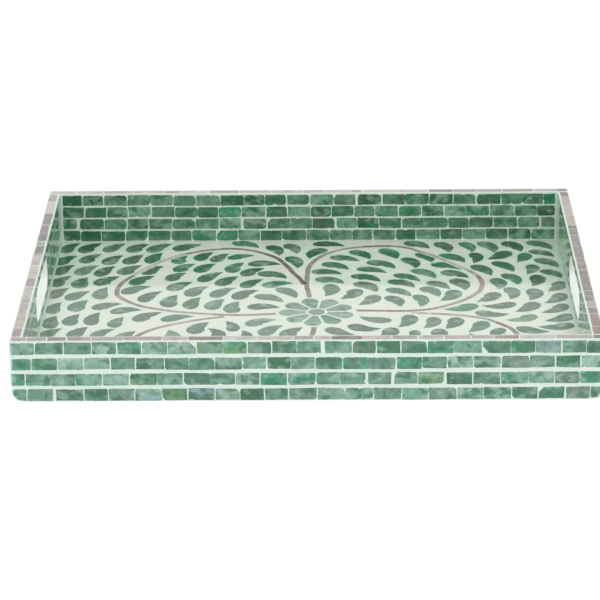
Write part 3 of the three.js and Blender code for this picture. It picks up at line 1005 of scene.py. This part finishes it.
def scaled(outline, factor):
    middle_u, middle_v = middle_of(outline)
    return [(middle_u + (u - middle_u) * factor, middle_v + (v - middle_v) * factor)
            for u, v in outline]


def clear_of_scroll(outline):
    """The outline pulled in towards its middle wherever it would reach the scroll."""
    reach = SCROLL_WIDTH / 2 + PETAL_GAP
    middle = sum((Vector(point) for point in outline), Vector((0, 0))) / len(outline)
    pulled = []
    for point in outline:
        spoke = Vector(point) - middle
        steps = math.ceil(spoke.length / SPOKE_STEP)
        share = 1.0
        for k in range(1, steps + 1):
            spot = middle + spoke * k / steps
            if SCROLL_TREE.find((spot.x, spot.y, 0))[2] < reach:
                share = (k - 1) / steps
                break
        pulled.append(tuple(middle + spoke * share))
    return pulled


def clear_of_edges(outline):
    limit_x, limit_y = WELL_HALF_LENGTH - WALL_GAP, WELL_HALF_DEPTH - WALL_GAP
    return [(min(max(u, -limit_x - ROSETTE_X), limit_x - ROSETTE_X),
             min(max(v, -limit_y - ROSETTE_Y), limit_y - ROSETTE_Y)) for u, v in outline]


def rosette(material):
    """The nine petals and the centre disc; returns their outlines."""
    shells = Shells()
    outlines = []
    for heading in ROSETTE_HEADINGS:
        outline = roughen(tear_outline(heading), FLOOR_STEP, *ROSETTE_NIPS)
        outlines.append(outline)
        first = pick(EMERALDS if heading in EMERALD_HEADINGS else ROSETTE_GREENS)
        add_floor_shell(shells, outline, jitter(first, 0.1), jitter(pick(ROSETTE_GREENS), 0.12))
    turns = [math.tau * i / DISC_POINTS for i in range(DISC_POINTS)]
    disc = [(DISC_RADIUS * math.cos(turn), DISC_RADIUS * math.sin(turn)) for turn in turns]
    outlines.append(disc)
    add_floor_shell(shells, disc, *DISC_TINTS)
    dress(shells.build("floor_rosette_shells"), material, "green_shell", "floor_rosette")
    return outlines


def tone_at(points, place):
    """Tone of the scroll's point nearest to a place."""
    return min(points, key=lambda p: (Vector(p[:2]) - place).length)[2]


def scroll(material):
    """The scroll as short curved shells, end to end, each toned by its place."""
    shells = Shells()
    for points in SCROLL.values():
        path = smooth_path(points, 1.0)
        at = 0
        while at < len(path) - 4:
            length = rng.randint(9, 15)
            if len(path) - at - length < 6:
                length = len(path) - at
            tone = tone_at(points, path[min(at + length // 2, len(path) - 1)])
            first = jitter(SCROLL_TONES[tone], 0.08)
            second = jitter(SCROLL_TONES[tone], 0.16)
            add_floor_shell(shells, ribbon(path, at, at + length), first, second)
            at += length
    dress(shells.build("floor_scroll_shells"), material, "scroll_shell", *SCROLL)


def ribbon(path, start, stop):
    """Outline of the piece of scroll between two points of its path."""
    near, far = [], []
    stop = min(stop + 1, len(path))
    for i in range(start, stop):
        along = path[min(i + 1, len(path) - 1)] - path[max(i - 1, 0)]
        normal = Vector((-along.y, along.x)).normalized() * SCROLL_WIDTH / 2
        trim = along.normalized() * SCROLL_JOINT / 2 * ((i == start) - (i == stop - 1))
        near.append((path[i].x - normal.x + trim.x, path[i].y - normal.y + trim.y))
        far.append((path[i].x + normal.x + trim.x, path[i].y + normal.y + trim.y))
    return near + far[::-1]


def add_floor_shell(shells, outline, first, second):
    """One shell in the floor: its edges ease straight inwards, whatever its outline."""
    count = len(outline)
    inward = []
    for i in range(count):
        before, after = outline[i - 1], outline[(i + 1) % count]
        normal = Vector((before[1] - after[1], after[0] - before[0]))
        inward.append(normal.normalized() if normal.length > 1e-6 else Vector((0, 0)))
    rings = []
    for amount, height in EDGE_RINGS:
        rings.append([on_floor(u + n.x * amount, v + n.y * amount, height)
                      for (u, v), n in zip(outline, inward)])
    shells.add(rings, first, second)


# --- Resin, lining and board ---

SEAM = 0.02             # half the gap between two pieces of resin that meet
SEAM_DEPTH = 0.8        # how deep the two coats meet under the rim shells
BED_PITCH = 2.0         # between two points of the floor bed's surface
BED_WAVE = 0.02         # how far that surface is from flat
CREAM_START = 0.6       # distance from the shells at which the bed begins to turn cream
CREAM_REACH = 4.0       # and over which it turns
CREAM_PATCH = 2.0       # how far that line wanders
INNER_CORNER = 2.2      # radius of the resin in the upright inner corners
LIP = 0.45              # radius of the lining's lips
LIP_EASE = 0.15         # how far the middle of a lip's curve lies from both faces
BOARD_GAP = 0.05        # between the base board and the resin


def rim_edge(face, inwards):
    """Rounded upper edge of a coat, as (inset, height) pairs from its face to its top."""
    top = RIM_Z - GROUT_RECESS
    return [(face + inwards * far, top - drop) for far, drop in ((0, 0.5), (0.15, 0.15), (0.5, 0))]


def resin_coats(material):
    """The outer and the inner coat, which meet under the middle of the rim shells."""
    top = RIM_Z - GROUT_RECESS
    seam = WALL / 2 - SEAM
    outside = GROUT_RECESS
    heights = [0.3, 0.6, 1.0, 1.6, 2.4, 3.4, 4.6, 6, 8, 10, 12, 14, 20, 30, 40]
    profile = [(COAT, heights[0])]
    profile += [(outside, z) for z in heights]
    profile += rim_edge(outside, 1)
    profile += [(seam, top), (seam, top - SEAM_DEPTH), (COAT, top - SEAM_DEPTH)]
    resin_coat("outer", profile, soften, material)

    seam = WALL / 2 + SEAM
    back = WALL - COAT
    face = WALL - GROUT_RECESS
    foot = FLOOR_Z - 0.4
    profile = [(back, foot), (back, top - SEAM_DEPTH), (seam, top - SEAM_DEPTH), (seam, top)]
    profile += rim_edge(face, -1)[::-1]
    profile += [(face, 30), (face, foot)]
    resin_coat("inner", profile, fill_inner_corner, material)


def resin_coat(where, profile, shape, material):
    coat = ring_mesh(f"{where}_resin", profile, shape)
    cut_handles(coat, LINING - SEAM)
    smooth(coat)
    dress(coat, material, "resin", f"{where}_resin_coat")


def fill_inner_corner(point):
    """Rounds the upright inner corners where the resin gathers."""
    x, y, z = point
    dx = WELL_HALF_LENGTH + GROUT_RECESS - abs(x)
    dy = WELL_HALF_DEPTH + GROUT_RECESS - abs(y)
    if max(dx, dy) > INNER_CORNER or min(dx, dy) < -0.01:
        return point
    dx, dy = round_off(dx, dy, INNER_CORNER)
    return (math.copysign(WELL_HALF_LENGTH + GROUT_RECESS - dx, x),
            math.copysign(WELL_HALF_DEPTH + GROUT_RECESS - dy, y), z)


def handle_linings(material):
    """A thin resin sleeve with rounded lips in each handle slot."""
    half = WALL / 2 - GROUT_RECESS
    profile = [(-half, LINING), (half, LINING), (half, LIP), (half - LIP_EASE, LIP_EASE),
               (half - LIP, 0.0), (LIP - half, 0.0), (LIP_EASE - half, LIP_EASE), (-half, LIP)]
    for side, name in ((-1, "left"), (1, "right")):
        points = []
        for across, growth in profile:
            x = side * (HALF_LENGTH - WALL / 2) + across
            points.extend((x, y, z) for y, z in slot_outline(growth))
        outwards = [face[::-1] for face in band(len(points) // len(profile), len(profile), closed=True)]
        sleeve = mesh_object(f"{name}_handle_sleeve", points, outwards)
        smooth(sleeve)
        dress(sleeve, material, "resin", f"{name}_handle_lining")


def bed_surface(columns, rows, half_x, half_y, outlines):
    """Points of the bed's surface and how cream each is: mint near a shell, cream further off."""
    tree = tree_of(point for outline in outlines for point in resample(outline, 1.0))
    surface, cream = [], []
    for j in range(rows + 1):
        for i in range(columns + 1):
            x, y = half_x * (2 * i / columns - 1), half_y * (2 * j / rows - 1)
            wave = BED_WAVE * noise.noise(Vector((x * 0.02, y * 0.02, 3.1)))
            surface.append((x, y, FLOOR_Z - GROUT_RECESS + wave))
            away = tree.find((x - ROSETTE_X, y - ROSETTE_Y, 0))[2]
            edge = min(WELL_HALF_LENGTH - abs(x), WELL_HALF_DEPTH - abs(y))
            patch = noise.noise(Vector((x * 0.05, y * 0.05, 9.7)))
            cream.append(ease((min(away, edge) - CREAM_START + CREAM_PATCH * patch) / CREAM_REACH))
    return surface, cream


def floor_bed(material, outlines):
    """The resin that the floor pattern is set in."""
    half_x, half_y = WELL_HALF_LENGTH + COAT, WELL_HALF_DEPTH + COAT
    columns, rows = round(2 * half_x / BED_PITCH), round(2 * half_y / BED_PITCH)
    top, cream = bed_surface(columns, rows, half_x, half_y, outlines)
    width = columns + 1
    count = len(top)
    edge = list(range(width))
    edge += [j * width + columns for j in range(1, rows + 1)]
    edge += [rows * width + i for i in range(columns - 1, -1, -1)]
    edge += [j * width for j in range(rows - 1, 0, -1)]
    bottom = [(top[a][0], top[a][1], BOARD_HIGH[2] + BOARD_GAP) for a in edge]
    faces = [(a, a + 1, a + 1 + width, a + width)
             for j in range(rows) for a in range(j * width, j * width + columns)]
    for k, a in enumerate(edge):
        after = (k + 1) % len(edge)
        faces.append((a, count + k, count + after, edge[after]))
    faces.append(tuple(count + k for k in reversed(range(len(edge)))))
    bed = mesh_object("floor_bed", top + bottom, faces)
    layer = bed.data.attributes.new("cream", "FLOAT", "POINT")
    layer.data.foreach_set("value", np.array(cream + [0.0] * len(bottom), np.float32))
    smooth(bed)
    dress(bed, material, "resin", "floor_resin_bed")


def underside(material):
    """The base board, its corners rounded like the tray's."""
    half_x, half_y = BOARD_HIGH[0] - BOARD_GAP, BOARD_HIGH[1] - BOARD_GAP
    levels = [(0.9, 0.0), (0.3, 0.08), (0.0, 0.4), (0.0, 2.0), (0.0, BOARD_HIGH[2])]
    points = []
    for inset, z in levels:
        for x, y in rectangle(half_x - inset, half_y - inset):
            points.append(soften((x, y, z)))
    board = mesh_object("underside_board", points, skin(len(points) // len(levels), len(levels)))
    smooth(board)
    dress(board, material, "board", "base_board")


def seal_cores(material):
    """The wall boards, which stay as they are, in the same fibreboard as the base."""
    for side in SIDES:
        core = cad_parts[f"{side}_wall_core"]
        core.data.materials.clear()
        core.data.materials.append(material)


# --- Stage ---

CAMERA_TURN = (21.097, -0.564, 0.484)   # degrees down, to the right and about its own axis
CAMERA_PLACE = (14.85, -2195.7, 862.15)
CAMERA_LENS = 170.24
WORLD_LIGHT = 0.75
STUDIO_REACH = 6000
STUDIO_DROP = 0.05      # keeps the studio floor just under the tray
STUDIO_GLOW = 0.86


def camera():
    """Looks at the tray from in front and above, through a long lens."""
    pitch, yaw, roll = (math.radians(angle) for angle in CAMERA_TURN)
    ahead = Vector((math.sin(yaw) * math.cos(pitch), math.cos(yaw) * math.cos(pitch),
                    -math.sin(pitch)))
    level = Vector((math.cos(yaw), -math.sin(yaw), 0))
    down = ahead.cross(level)
    right = level * math.cos(roll) + down * math.sin(roll)
    down = down * math.cos(roll) - level * math.sin(roll)
    data = bpy.data.cameras.new("camera")
    data.sensor_width = 36.0
    data.lens = CAMERA_LENS
    data.clip_end = 50.0
    eye = bpy.data.objects.new("camera", data)
    bpy.context.scene.collection.objects.link(eye)
    turn = Matrix((right, -down, -ahead)).transposed().to_4x4()
    eye.matrix_world = Matrix.Translation(Vector(CAMERA_PLACE) * MM) @ turn
    bpy.context.scene.camera = eye


def stage():
    world = bpy.data.worlds.new("studio")
    world.use_nodes = True
    background = world.node_tree.nodes["Background"]
    background.inputs["Color"].default_value = (1, 1, 1, 1)
    background.inputs["Strength"].default_value = WORLD_LIGHT
    bpy.context.scene.world = world
    bpy.context.scene.view_settings.view_transform = "Standard"

    corners = [(a * STUDIO_REACH, b * STUDIO_REACH, -STUDIO_DROP)
               for a, b in ((-1, -1), (1, -1), (1, 1), (-1, 1))]
    floor = mesh_object("studio_floor", corners, [(0, 1, 2, 3)])
    n = Nodes("studio_white")
    n.shade(Base_Color=(0.18, 0.18, 0.18, 1.0), Roughness=0.9, Specular_IOR_Level=0.0,
            Emission_Color=(1, 1, 1, 1), Emission_Strength=STUDIO_GLOW)
    floor.data.materials.append(n.material)

    softbox("overhead", (2.4, 1.6), 17.0, (0.1, -1.0, 1.8))
    softbox("back_card", (4.0, 1.6), 3.5, (0.0, 2.6, 1.2))


def softbox(name, size, energy, place):
    """A soft rectangular light turned to the tray, its size and place in metres."""
    lamp = bpy.data.lights.new(name, "AREA")
    lamp.shape = "RECTANGLE"
    lamp.size, lamp.size_y = size
    lamp.energy = energy
    light = bpy.data.objects.new(name, lamp)
    bpy.context.scene.collection.objects.link(light)
    light.location = place
    aim = Vector((0, 0, 0.03)) - light.location
    light.rotation_euler = aim.to_track_quat("-Z", "Y").to_euler()


# --- The tray ---

camera()
stage()

green = shell_material("green_shell", 0.11, (srgb(14, 106, 70), 0.8), (srgb(150, 184, 164), 0.5))
rim = shell_material("rim_shell", 0.06, (srgb(112, 92, 90), 0.35), (srgb(206, 198, 190), 0.15))
scroll_shell = shell_material("scroll_shell", 0.08, (srgb(84, 70, 64), 0.4),
                              (srgb(172, 164, 152), 0.3))
resin = resin_material("mint_resin", MINT, PALE_MINT)
# Painted light: the lining's pale resin is made nearly white because the slots look washed out with
# light
lit_pale_resin = resin_material("lit_pale_resin", LIT_WHITE_MINT, LIT_WHITE_MINT)
bed_resin = resin_material("bed_resin", FLOOR_MINT, FLOOR_PALE_MINT, patchy=True)
board = board_material()

for side in SIDES:
    wall_shells(side, "outer", OUTER_STYLE, green)
for side in SIDES:
    wall_shells(side, "inner", LIT_SIDE_STYLE if side in ("left", "right") else INNER_STYLE, green)
for side, tones in RIMS.items():
    rim_shells(side, tones, rim)

inlay = floor_petals(green) + rosette(green)
scroll(scroll_shell)
floor_bed(bed_resin, inlay)
resin_coats(resin)
handle_linings(lit_pale_resin)
underside(board)
seal_cores(board)
